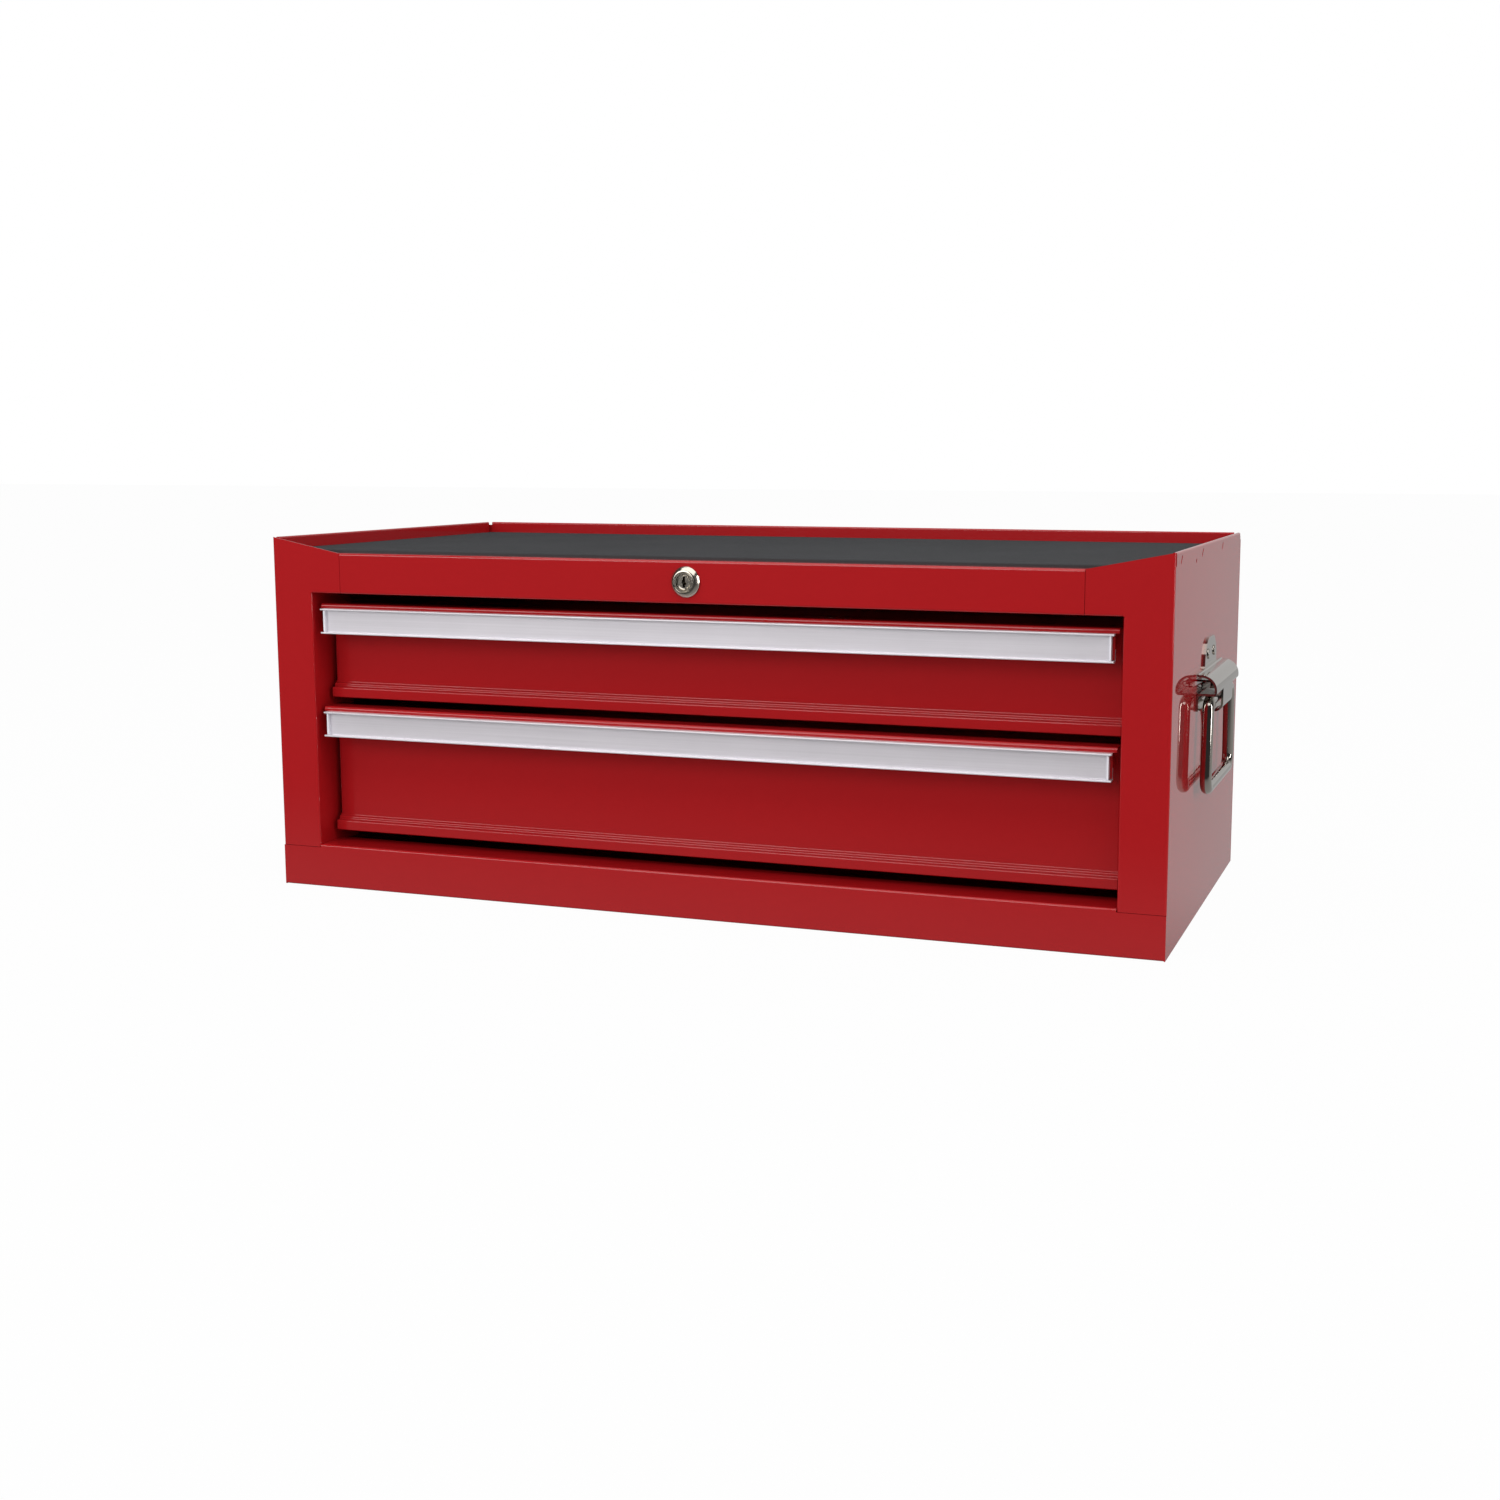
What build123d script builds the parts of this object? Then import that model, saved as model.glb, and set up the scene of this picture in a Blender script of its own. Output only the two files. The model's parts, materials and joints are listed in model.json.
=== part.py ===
from build123d import *

import os
from math import sqrt

os.makedirs("parts", exist_ok=True)

# A low steel tool chest: two drawers on ball slides, a tray top with a rubber mat inside a
# folded rim, one key lock and a drop handle on each side. Millimetres, X across the front,
# Y from front to back, Z up, and the origin on the floor under the middle of the chest.

# ------------------------------------------------------------------ driving dimensions
width = 660.0  # across the two side panels
depth = 320.0  # front face to rear face
height = 260.0  # floor to the top of the rim
bezel_proud = 4.0  # how far the lock stands out of the front face
sheet = 0.9  # steel sheet of the cabinet and the drawer fronts
bend = 1.5  # outer radius of a fold in that sheet

half_width = width / 2
front = -(depth - bezel_proud) / 2
back = front + depth
skin_back = back - sheet  # where the side panels end, behind them is the back panel

# front frame
stile_width = 31.7  # the face beside the drawers
ear_width = 56.3  # the stile's wider head, beside the top rail
return_depth = 50.0  # the stile folds back this far beside the drawers
bottom_rail_top = 32.0
stile_foot = 30.0  # the seam between the stile and the bottom rail
top_rail_low = 219.7
deck_top = 248.9
rolled_lip = 8.0  # the fold under the top rail
opening_half = half_width - stile_width
ear_half = half_width - ear_width

# rim: the side and back sheets fold over an upturned flange of the deck
rim_width = 3 * sheet
rim_foot = deck_top + 1.4
rim_radius = 1.1
rim_start = height - 2.5  # flat sheet below, the fold of the rim above
rim_flange_top = height - 1.7
rear_rim_half = 325.0
rear_flange_half = 317.0  # deck and bottom pan, between the side panels' rear flanges
corner_notch = 4.4  # relief between the ear and the folded rim
rear_flange = 12.0

# drawers and slides
slide_gap = 12.7  # thickness of one closed ball slide
pan_half = opening_half - slide_gap
pan_wall = 0.8
pan_corner = 2.2
weld_margin = 0.3  # welds lie this far outside the bends
pan_front = front + 24.4
pan_back = 131.0
slide_front = -128.0
slide_back = 132.0
cage_length = 66.0
front_panel_half = 295.0

# lock
lock_z = 234.5
crank_radius = 8.0
crank_drop = crank_radius * sqrt(2)  # a quarter turn, from 45 degrees up to 45 down

# side handles
handle_y = 2.0
pivot_z = 154.0
pivot_out = 8.0  # the pivot line stands this far off the side panel
wire = 8.0

# The two drawers, from the floor up: every height of a drawer follows from these.
drawers = {
    "upper": {"ledge": 140.8, "top": 211.5, "floor": 150.0, "rim": 203.0, "slide": 176.0},
    "lower": {"ledge": 40.0, "top": 135.2, "floor": 48.5, "rim": 128.0, "slide": 84.0},
}


# ------------------------------------------------------------------ helpers
def folded(plane, points, radii, side, thickness=sheet):
    """Section of a bent sheet. One face of the sheet follows the points."""
    with BuildSketch(plane) as section:
        with BuildLine():
            FilletPolyline(*points, radius=radii)
            offset(amount=thickness, side=side)
        make_face()
    return section.sketch


def block(low, high, mode=Mode.ADD):
    """Box between two opposite corners."""
    size = Vector(*high) - Vector(*low)
    middle = (Vector(*high) + Vector(*low)) / 2
    with Locations(middle):
        Box(size.X, size.Y, size.Z, mode=mode)


def across(x):
    """YZ plane at x. Extruding goes towards +X."""
    return Plane.YZ.offset(x)


def facing_front(y, z=0):
    """XZ plane at y. Extruding goes towards the front."""
    return Plane(origin=(0, y, z), x_dir=(1, 0, 0), z_dir=(0, -1, 0))


def drill_x(points, radius, x_low, x_high):
    """Holes along X at (y, z) points, between two values of x."""
    with BuildSketch(across(x_low)) as holes:
        with Locations(*points):
            Circle(radius)
    extrude(holes.sketch, amount=x_high - x_low, mode=Mode.SUBTRACT)


def drill_y(points, radius, y_front, y_back):
    """Holes along Y at (x, z) points, between two values of y."""
    with BuildSketch(facing_front(y_back)) as holes:
        with Locations(*points):
            Circle(radius)
    extrude(holes.sketch, amount=y_back - y_front, mode=Mode.SUBTRACT)


def rivet(grip, tail, head=None, shank=2.0):
    """A rivet on the Z axis, its shank below z = 0. Head and tail are (radius, height)."""
    above = (Align.CENTER, Align.CENTER, Align.MIN)
    below = (Align.CENTER, Align.CENTER, Align.MAX)
    with BuildPart() as piece:
        Cylinder(shank, grip, align=below)
        with Locations((0, 0, -grip)):
            Cylinder(*tail, align=below)
        fillet(piece.edges().sort_by(Axis.Z)[0], radius=tail[1] * 0.6)
        if head:
            Cylinder(*head, align=above)
            fillet(piece.edges().sort_by(Axis.Z)[-1], radius=head[1] * 0.8)
    return piece.part


def place(piece, seats):
    """Copies of a piece, one on each plane, its own Z along the plane's normal."""
    with Locations(*seats):
        add(piece)


def plates_of(solids, *planes):
    """The same solids, cut along each plane, so that a folded sheet becomes its plain plates."""
    for plane in planes:
        solids = [half for solid in solids for half in split(solid, bisect_by=plane, keep=Keep.BOTH).solids()]
    return solids


def save(piece, name):
    piece.label = name
    export_step(piece, f"parts/{name}.step")


def save_pair(right_piece, name):
    """The right-hand piece and its mirror image on the left."""
    with BuildPart() as left:
        mirror(right_piece, about=Plane.YZ)
    save(right_piece, f"right_{name}")
    save(left.part, f"left_{name}")


# ------------------------------------------------------------------ side panels
handle_rivets = [(handle_y - 14, 183), (handle_y + 14, 183), (handle_y, 133)]
front_rivet_y = front + 40
rear_rivet_y = 126.0
back_rivet_x = half_width - 7
back_rivet_z = [45, 130, 215]
rivet_hole = 2.05

with BuildPart() as side_panel:
    # side, stile and rear flange in one folded sheet
    plan = [
        (opening_half, front + return_depth),
        (opening_half, front),
        (half_width, front),
        (half_width, skin_back),
        (half_width - rear_flange, skin_back),
    ]
    extrude(folded(Plane.XY, plan, bend, Side.LEFT), amount=height)

    # the stile stops at the bottom rail, where the flat side runs on to the front
    behind_face = front + sheet
    behind_bend = front + 2 * bend
    stile_end = front + return_depth + 1
    inside_skin = half_width - sheet
    ear_inner = opening_half + 2 * bend
    block((opening_half - 1, front - 1, -1), (half_width + 1, behind_bend, stile_foot), Mode.SUBTRACT)
    block((opening_half - 1, front, -1), (ear_inner, stile_end, stile_foot), Mode.SUBTRACT)
    block((inside_skin, behind_face, 0), (half_width, behind_bend, stile_foot))

    # the head of the stile widens into an ear beside the top rail
    ear = [(front + rolled_lip, top_rail_low), (front, top_rail_low), (front, height)]
    block((opening_half - 1, front - 1, top_rail_low), (ear_inner, stile_end, height + 1), Mode.SUBTRACT)
    lip_end = opening_half - 0.4
    block((lip_end, front, top_rail_low), (ear_inner, behind_face, height))
    extrude(folded(across(ear_half), ear, bend, Side.RIGHT), amount=lip_end - ear_half)
    with BuildSketch(facing_front(behind_face + bend), mode=Mode.PRIVATE) as above_slope:
        with BuildLine():
            Polyline(
                (ear_half - 1, deck_top),
                (ear_half, deck_top),
                (half_width, height),
                (half_width + 1, height),
                (half_width + 1, height + 5),
                (ear_half - 1, height + 5),
                close=True,
            )
        make_face()
    extrude(above_slope.sketch, amount=sheet + 2 * bend, mode=Mode.SUBTRACT)

    # relief notch at the front corner, then the folded rim
    notch_back = front + corner_notch
    notch_front = behind_face + 0.3
    block(
        (inside_skin - 1, notch_front, rim_foot + 1),
        (half_width + 1, notch_back, height + 1),
        Mode.SUBTRACT,
    )
    block((half_width - 20, notch_back, rim_start), (half_width + 1, back, height + 1), Mode.SUBTRACT)
    rim = [
        (half_width, rim_start),
        (half_width, height),
        (half_width - rim_width, height),
        (half_width - rim_width, rim_foot),
    ]
    rim_back = skin_back - 3
    extrude(folded(facing_front(rim_back), rim, rim_radius, Side.LEFT), amount=rim_back - notch_back)

    # three slanted lances that lock the rim, and a small drain hole
    lance_y = [front + 24, front + 116, front + 216]
    with BuildSketch(across(half_width + 1), mode=Mode.PRIVATE) as lances:
        with Locations(*[(y, 254.6) for y in lance_y]):
            SlotOverall(8.0, 1.7, rotation=38)
        with Locations((front + 88, 250.6)):
            Circle(1.5)
    extrude(lances.sketch, amount=-1 - sheet - 0.4, mode=Mode.SUBTRACT)

    # rivet holes: handle bracket, slides, back panel
    drill_x(handle_rivets, rivet_hole, inside_skin - 1, half_width + 1)
    slide_holes = [(front_rivet_y, d["slide"]) for d in drawers.values()]
    drill_x(slide_holes, rivet_hole, opening_half - 1, opening_half + sheet + 1)
    drill_y([(back_rivet_x, z) for z in back_rivet_z], rivet_hole, skin_back - 2, back)
save_pair(side_panel.part, "side_panel")

# ------------------------------------------------------------------ back panel
pan_rivet_x = [-220, 0, 220]
pan_rivet_z = 8.0
corner_chamfer = 3.0
with BuildPart() as back_panel:
    with BuildSketch(facing_front(back)):
        with BuildLine():
            Polyline(
                (-half_width, 0),
                (half_width, 0),
                (half_width, rim_start - corner_chamfer),
                (half_width - corner_chamfer, rim_start),
                (-half_width + corner_chamfer, rim_start),
                (-half_width, rim_start - corner_chamfer),
                close=True,
            )
        make_face()
    extrude(amount=sheet)
    rear_rim = [
        (back, rim_start),
        (back, height),
        (back - rim_width, height),
        (back - rim_width, rim_foot),
    ]
    extrude(folded(across(-rear_rim_half), rear_rim, rim_radius, Side.LEFT), amount=2 * rear_rim_half)
    edge_holes = [(x, z) for x in (-back_rivet_x, back_rivet_x) for z in back_rivet_z]
    foot_holes = [(x, pan_rivet_z) for x in pan_rivet_x]
    drill_y(edge_holes + foot_holes, rivet_hole, skin_back - 1, back + 1)
save(back_panel.part, "back_panel")

# ------------------------------------------------------------------ bottom pan
pan_flange = 15.0
rail_return = 30.0
seam = 0.3
with BuildPart() as bottom_pan:
    # floor with two upturned side flanges, inside the side panels
    floor = [
        (inside_skin, pan_flange),
        (inside_skin, 0),
        (-inside_skin, 0),
        (-inside_skin, pan_flange),
    ]
    floor_front = front + 2 * bend
    floor_back = skin_back - 2 * bend
    floor_section = folded(facing_front(floor_back), floor, bend, Side.RIGHT)
    extrude(floor_section, amount=floor_back - floor_front)

    # front rail between the stiles, with a return along its top
    rail = [(front + rail_return, bottom_rail_top), (front, bottom_rail_top), (front, 0), (floor_front, 0)]
    rail_half = opening_half - seam
    extrude(folded(across(-rail_half), rail, bend, Side.LEFT), amount=2 * rail_half)

    # the rail runs on below the stiles to both corners
    low_rail = [(front, stile_foot - seam), (front, 0), (floor_front, 0)]
    for start, run in ((-inside_skin, inside_skin - rail_half), (rail_half, inside_skin - rail_half)):
        extrude(folded(across(start), low_rail, bend, Side.LEFT), amount=run)
    for side in (-1, 1):
        outer = side * half_width
        inner = side * inside_skin
        low_x, high_x = min(outer, inner), max(outer, inner)
        block((low_x, front, 0), (high_x, front + sheet, stile_foot - seam))

    # rear flange, riveted to the back panel
    rear = [(floor_back, 0), (skin_back, 0), (skin_back, pan_flange)]
    extrude(folded(across(-rear_flange_half), rear, bend, Side.LEFT), amount=2 * rear_flange_half)
    drill_y([(x, pan_rivet_z) for x in pan_rivet_x], rivet_hole, skin_back - 2, skin_back + 1)
save(bottom_pan.part, "bottom_pan")

# ------------------------------------------------------------------ top deck and mat
lock_hole = 9.15
with BuildPart() as top_deck:
    # tray floor with upturned flanges that stand inside the folded rims
    deck_low = deck_top - sheet
    deck_front = front + corner_notch + 0.6
    deck_back = skin_back - 2 * bend
    tray = [
        (inside_skin, rim_flange_top),
        (inside_skin, deck_low),
        (-inside_skin, deck_low),
        (-inside_skin, rim_flange_top),
    ]
    tray_section = folded(facing_front(deck_back), tray, bend, Side.RIGHT)
    extrude(tray_section, amount=deck_back - deck_front)
    tray_rear = [(deck_back, deck_low), (skin_back, deck_low), (skin_back, rim_flange_top)]
    extrude(folded(across(-rear_flange_half), tray_rear, bend, Side.LEFT), amount=2 * rear_flange_half)

    # top rail, folded down from the deck, with a rolled lower edge
    rail_end = ear_half - seam
    top_rail = [
        (front + rolled_lip, top_rail_low),
        (front, top_rail_low),
        (front, deck_top),
        (deck_front, deck_top),
    ]
    extrude(folded(across(-rail_end), top_rail, bend, Side.RIGHT), amount=2 * rail_end)
    for low_x, high_x in ((-inside_skin + 1.5, -rail_end), (rail_end, inside_skin - 1.5)):
        block((low_x, front + sheet, deck_low), (high_x, deck_front, deck_top))
    drill_y([(0, lock_z)], lock_hole, front - 1, front + 2)
save(top_deck.part, "top_deck")

mat_thickness = 2.4
mat_gap = 1.5
with BuildPart() as top_mat:
    mat_half = half_width - rim_width - mat_gap
    mat_front = front + 11
    mat_back = back - rim_width - mat_gap
    block((-mat_half, mat_front, deck_top), (mat_half, mat_back, deck_top + mat_thickness))
    fillet(top_mat.edges().filter_by(Axis.Z), radius=3)
save(top_mat.part, "top_mat")

# ------------------------------------------------------------------ rear uprights
upright_front = 118.0
upright_sheet = 1.1
with BuildPart() as rear_upright:
    channel = [
        (opening_half + 17.7, upright_front),
        (opening_half, upright_front),
        (opening_half, skin_back),
        (opening_half + 17.7, skin_back),
    ]
    channel_section = folded(Plane.XY.offset(16), channel, 2.0, Side.RIGHT, upright_sheet)
    extrude(channel_section, amount=220)
    upright_holes = [(rear_rivet_y, d["slide"]) for d in drawers.values()]
    drill_x(upright_holes, rivet_hole, opening_half - 1, opening_half + 2)
save_pair(rear_upright.part, "rear_upright")

# ------------------------------------------------------------------ ball slides
rail_height = 35.0  # the cabinet rail
rail_steel = 1.2
runner_height = 21.8  # the drawer rail, inside the cabinet rail
ball_radius = 2.6
ball_z = 13.6
ball_x = opening_half - 5.7
ball_pitch = 14.0
balls_in_row = 5
cage_steel = 0.5


def channel_points(mouth_x, web_x, half_height, lip):
    """A C section, its web on one side and two lips at its mouth."""
    return [
        (mouth_x, half_height - lip),
        (mouth_x, half_height),
        (web_x, half_height),
        (web_x, -half_height),
        (mouth_x, -half_height),
        (mouth_x, -half_height + lip),
    ]


slide_length = slide_back - slide_front
for name, drawer in drawers.items():
    slide_z = drawer["slide"]
    with BuildPart() as cabinet_rail:
        outer = channel_points(opening_half - 9.7, opening_half, rail_height / 2, 2.9)
        rail_plane = facing_front(slide_back, slide_z)
        extrude(folded(rail_plane, outer, 1.9, Side.RIGHT, rail_steel), amount=slide_length)
        rail_holes = [(front_rivet_y, slide_z), (rear_rivet_y, slide_z)]
        drill_x(rail_holes, rivet_hole, opening_half - 2, opening_half + 1)
    save_pair(cabinet_rail.part, f"{name}_cabinet_rail")

    with BuildPart() as drawer_rail:
        inner = channel_points(opening_half - 2.9, pan_half, runner_height / 2, 2.9)
        extrude(folded(rail_plane, inner, 1.9, Side.LEFT, rail_steel), amount=slide_length)
        runner_holes = [(y, slide_z) for y in (-110, 110)]
        drill_x(runner_holes, rivet_hole, pan_half - 1, pan_half + 2)
    save_pair(drawer_rail.part, f"{name}_drawer_rail")

    with BuildPart() as cage:
        cage_middle = (slide_front + slide_back) / 2
        cage_back = cage_middle + cage_length / 2
        strip = [
            (opening_half - 9.0, ball_z + cage_steel / 2),
            (opening_half - 1.8, ball_z + cage_steel / 2),
            (opening_half - 1.8, -ball_z - cage_steel / 2),
            (opening_half - 9.0, -ball_z - cage_steel / 2),
        ]
        cage_plane = facing_front(cage_back, slide_z)
        extrude(folded(cage_plane, strip, 0.9, Side.RIGHT, cage_steel), amount=cage_length)
        with Locations((ball_x, cage_middle, slide_z)):
            with GridLocations(1, ball_pitch, 1, balls_in_row):
                Cylinder(ball_radius + 0.1, rail_height, mode=Mode.SUBTRACT)
    with BuildPart() as both_cages:
        add(cage.part)
        mirror(cage.part, about=Plane.YZ)
    save(both_cages.part, f"{name}_ball_cages")

    with BuildPart() as balls:
        for side in (-1, 1):
            for row in (-1, 1):
                with Locations((side * ball_x, cage_middle, slide_z + row * ball_z)):
                    with GridLocations(1, ball_pitch, 1, balls_in_row):
                        Sphere(ball_radius)
    save(balls.part, f"{name}_slide_balls")

# flush rivets hold the cabinet rails to the stile returns and the rear uprights
rail_web = opening_half - rail_steel
rail_tail = (3.4, 1.4)
with BuildPart() as rail_rivets:
    for y, behind in ((front_rivet_y, sheet), (rear_rivet_y, upright_sheet)):
        flush = rivet(rail_steel + behind, rail_tail)
        for side in (-1, 1):
            seats = [
                Plane(origin=(side * rail_web, y, d["slide"]), z_dir=(-side, 0, 0))
                for d in drawers.values()
            ]
            place(flush, seats)
save(rail_rivets.part, "rail_rivets")

# flush rivets round the back panel
with BuildPart() as back_rivets:
    through = rivet(2 * sheet, (3.0, 1.4))
    for x, z in edge_holes + foot_holes:
        place(through, [Plane(origin=(x, back, z), z_dir=(0, 1, 0))])
save(back_rivets.part, "back_rivets")

# ------------------------------------------------------------------ drawers
inner_half = pan_half - pan_wall
pan_inner_front = pan_front + pan_wall
pan_inner_back = pan_back - pan_wall
hem_height = 7.0
ledge_height = 7.6
ledge_proud = 5.5
jog_height = 2.8  # a low step between the ledge and the flat panel
jog_proud = 2.1
front_bend = 1.0
front_weld_margin = 0.2
panel_face = pan_front - sheet
panel_return = 5.0
hook_flange = front + 7.8  # the drawer's top folds forward to here, then down behind the pull
hook_depth = 19.4
pull_below_top = 3.4
pull_height = 18.4
pull_half = 292.3
cap_thickness = 1.2
lip_overhang = 3.0  # the pull's two lips run on this far past its web
liner_thickness = 1.4

for name, drawer in drawers.items():
    floor_z = drawer["floor"]
    rim_z = drawer["rim"]
    with BuildPart() as pan:
        block((-pan_half, pan_front, floor_z), (pan_half, pan_back, rim_z))
        fillet(pan.edges().filter_by(Axis.Z), radius=pan_corner)
        fillet(pan.edges().group_by(Axis.Z)[0], radius=bend)
        offset(amount=-pan_wall, openings=pan.faces().sort_by(Axis.Z)[-1])
        # the walls are hemmed inwards along the top
        middle_y = (pan_front + pan_back) / 2
        hem_x = 2 * inner_half
        hem_y = pan_inner_back - pan_inner_front
        with BuildSketch(Plane.XY.offset(rim_z - hem_height)):
            with Locations((0, middle_y)):
                RectangleRounded(hem_x, hem_y, pan_corner - pan_wall)
                RectangleRounded(hem_x - 2 * pan_wall, hem_y - 2 * pan_wall, 0.6, mode=Mode.SUBTRACT)
        extrude(amount=hem_height)
        for side in (-1, 1):
            low_x, high_x = sorted((side * (inner_half - 1), side * (pan_half + 1)))
            drill_x([(y, drawer["slide"]) for y in (-110, 110)], rivet_hole, low_x, high_x)
    # floor, front and back walls, and side walls with their round corners, welded edge to edge
    floor_weld = Plane.XY.offset(floor_z + bend + weld_margin)
    floor_plate, *walls = sorted(plates_of([pan.part.solid()], floor_weld), key=lambda plate: plate.center().Z)
    corner_x = pan_half - pan_corner - weld_margin
    walls = plates_of(walls, across(-corner_x), across(corner_x))
    save(Compound(children=[floor_plate, *walls]), f"{name}_drawer_pan")

    with BuildPart() as drawer_front:
        ledge = drawer["ledge"]
        step = ledge + ledge_height
        jog = step + jog_height
        under_top = drawer["top"] - sheet
        profile = [
            (pan_front + 4, ledge),
            (panel_face - ledge_proud, ledge),
            (panel_face - ledge_proud, step),
            (panel_face - jog_proud, step),
            (panel_face - jog_proud, jog),
            (panel_face, jog),
            (panel_face, under_top),
            (hook_flange, under_top),
            (hook_flange, under_top - hook_depth),
        ]
        section = folded(across(-front_panel_half), profile, front_bend, Side.RIGHT)
        extrude(section, amount=2 * front_panel_half)
        # the fold behind the pull stops inside the pull's end caps
        for side in (-1, 1):
            low_x, high_x = sorted((side * (pull_half - 0.1), side * (front_panel_half + 1)))
            fold_top = drawer["top"] - pull_below_top + 0.2
            block((low_x, front, fold_top - hook_depth), (high_x, hook_flange + 1, fold_top), Mode.SUBTRACT)
        # each end of the flat panel folds back beside the pan
        low_z = jog + bend
        high_z = under_top - 2 * bend
        for side in (-1, 1):
            low_x, high_x = sorted((side * (front_panel_half - 2), side * (front_panel_half + 1)))
            block((low_x, panel_face - 1, low_z), (high_x, pan_front + 1, high_z), Mode.SUBTRACT)
            end = [
                (side * (front_panel_half - 2), panel_face),
                (side * front_panel_half, panel_face),
                (side * front_panel_half, panel_face + panel_return),
            ]
            turn = Side.LEFT if side > 0 else Side.RIGHT
            extrude(folded(Plane.XY.offset(low_z), end, bend, turn), amount=high_z - low_z)
    # ledge, panel, its two end folds, top fold and hook, each a plain plate
    low_weld = Plane.XY.offset(jog + front_bend + front_weld_margin)
    high_weld = Plane.XY.offset(under_top - front_bend - front_weld_margin)
    plates = plates_of([drawer_front.part.solid()], low_weld, high_weld)
    plates.sort(key=lambda plate: plate.volume)
    end_x = front_panel_half - bend - sheet - front_weld_margin
    panel = plates_of([plates.pop()], across(-end_x), across(end_x))
    save(Compound(children=plates + panel), f"{name}_drawer_front")

    pull_top = drawer["top"] - pull_below_top
    pull_low = pull_top - pull_height
    lip_front = front + 1.5
    lip = 1.2
    web_front = front + 5.5
    slot_front = hook_flange - sheet - 0.1
    slot_back = hook_flange + 0.1
    leg_back = slot_back + 1.1
    with BuildPart() as pull:
        with BuildSketch(across(-pull_half)) as pull_section:
            with BuildLine():
                Polyline(
                    (lip_front, pull_top),
                    (slot_front, pull_top),
                    (slot_front, pull_low + lip),
                    (slot_back, pull_low + lip),
                    (slot_back, pull_low + 8.5),
                    (leg_back, pull_low + 8.5),
                    (leg_back, pull_low),
                    (lip_front, pull_low),
                    (lip_front, pull_low + lip),
                    (web_front, pull_low + lip),
                    (web_front, pull_top - lip),
                    (lip_front, pull_top - lip),
                    close=True,
                )
            make_face()
            fillet(pull_section.vertices().group_by(Axis.X)[0], radius=0.45)
        extrude(amount=2 * pull_half)
        for side in (-1, 1):
            low_x, high_x = sorted((side * (pull_half - lip_overhang), side * (pull_half + 1)))
            block((low_x, front, pull_low + lip), (high_x, slot_front + 0.1, pull_top - lip), Mode.SUBTRACT)
    save(pull.part, f"{name}_drawer_pull")

    with BuildPart() as pull_caps:
        for side in (-1, 1):
            cap_inner = pull_half - lip_overhang
            low_x, high_x = sorted((side * cap_inner, side * (cap_inner + cap_thickness)))
            block((low_x, lip_front + 1, pull_low + lip), (high_x, slot_front, pull_top - lip))
        fillet(pull_caps.edges().filter_by(Axis.X), radius=0.6)
    save(pull_caps.part, f"{name}_pull_caps")

    with BuildPart() as liner:
        liner_low = floor_z + pan_wall
        block(
            (-inner_half + 2, pan_inner_front + 2, liner_low),
            (inner_half - 2, pan_inner_back - 2, liner_low + liner_thickness),
        )
        fillet(liner.edges().filter_by(Axis.Z), radius=4)
    save(liner.part, f"{name}_drawer_liner")

    with BuildPart() as runner_rivets:
        domed = rivet(pan_wall + rail_steel, (3.2, 1.3), head=(3.4, 1.2))
        for side in (-1, 1):
            seats = [
                Plane(origin=(side * inner_half, y, drawer["slide"]), z_dir=(-side, 0, 0))
                for y in (-110, 110)
            ]
            place(domed, seats)
    save(runner_rivets.part, f"{name}_drawer_rivets")

# ------------------------------------------------------------------ lock
lock_axis = Axis((0, 0, lock_z), (0, 1, 0))
plug_radius = 5.5
housing_back = front + 24
bezel_radius = 10.6
bezel_front = front - bezel_proud
with BuildPart() as lock_housing:
    with BuildSketch(Plane.YZ):
        with BuildLine():
            Polyline(
                (bezel_front, lock_z + plug_radius + 0.06),
                (bezel_front, lock_z + 8.4),
                (front - 1.2, lock_z + bezel_radius),
                (front, lock_z + bezel_radius),
                (front, lock_z + 9),
                (housing_back, lock_z + 9),
                (housing_back, lock_z + plug_radius + 0.06),
                close=True,
            )
        make_face()
    revolve(axis=lock_axis)
    front_rims = lock_housing.edges().filter_by(GeomType.CIRCLE).sort_by(Axis.Y)[:2]
    fillet(front_rims.sort_by(SortBy.RADIUS)[-1], radius=0.8)
save(lock_housing.part, "lock_housing")

nut_thickness = 4.0
with BuildPart() as lock_nut:
    with BuildSketch(facing_front(front + sheet + nut_thickness)):
        with Locations((0, lock_z)):
            RegularPolygon(radius=11, side_count=6, major_radius=False)
            Circle(9, mode=Mode.SUBTRACT)
    extrude(amount=nut_thickness)
save(lock_nut.part, "lock_nut")

plug_front = bezel_front + 0.5
neck_radius = 4.0
neck_back = housing_back + 5
with BuildPart() as lock_plug:
    with BuildSketch(facing_front(housing_back + 0.2)):
        with Locations((0, lock_z)):
            Circle(plug_radius)
    extrude(amount=housing_back + 0.2 - plug_front)
    chamfer(lock_plug.edges().filter_by(GeomType.CIRCLE).sort_by(Axis.Y)[0], length=0.5)
    with BuildSketch(facing_front(neck_back)):
        with Locations((0, lock_z)):
            Circle(neck_radius)
    extrude(amount=neck_back - housing_back)
    # keyway, upright while the drawers are unlocked
    block((-1.1, plug_front - 1, lock_z - 3.7), (1.1, plug_front + 14, lock_z + 3.7), Mode.SUBTRACT)
save(lock_plug.part, "lock_plug")

with BuildPart() as lock_washer:
    washer_front = housing_back + 0.3
    with BuildSketch(facing_front(washer_front + 1.2)):
        with Locations((0, lock_z)):
            Circle(7.2)
            Circle(neck_radius, mode=Mode.SUBTRACT)
    extrude(amount=1.2)
save(lock_washer.part, "lock_washer")

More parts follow.
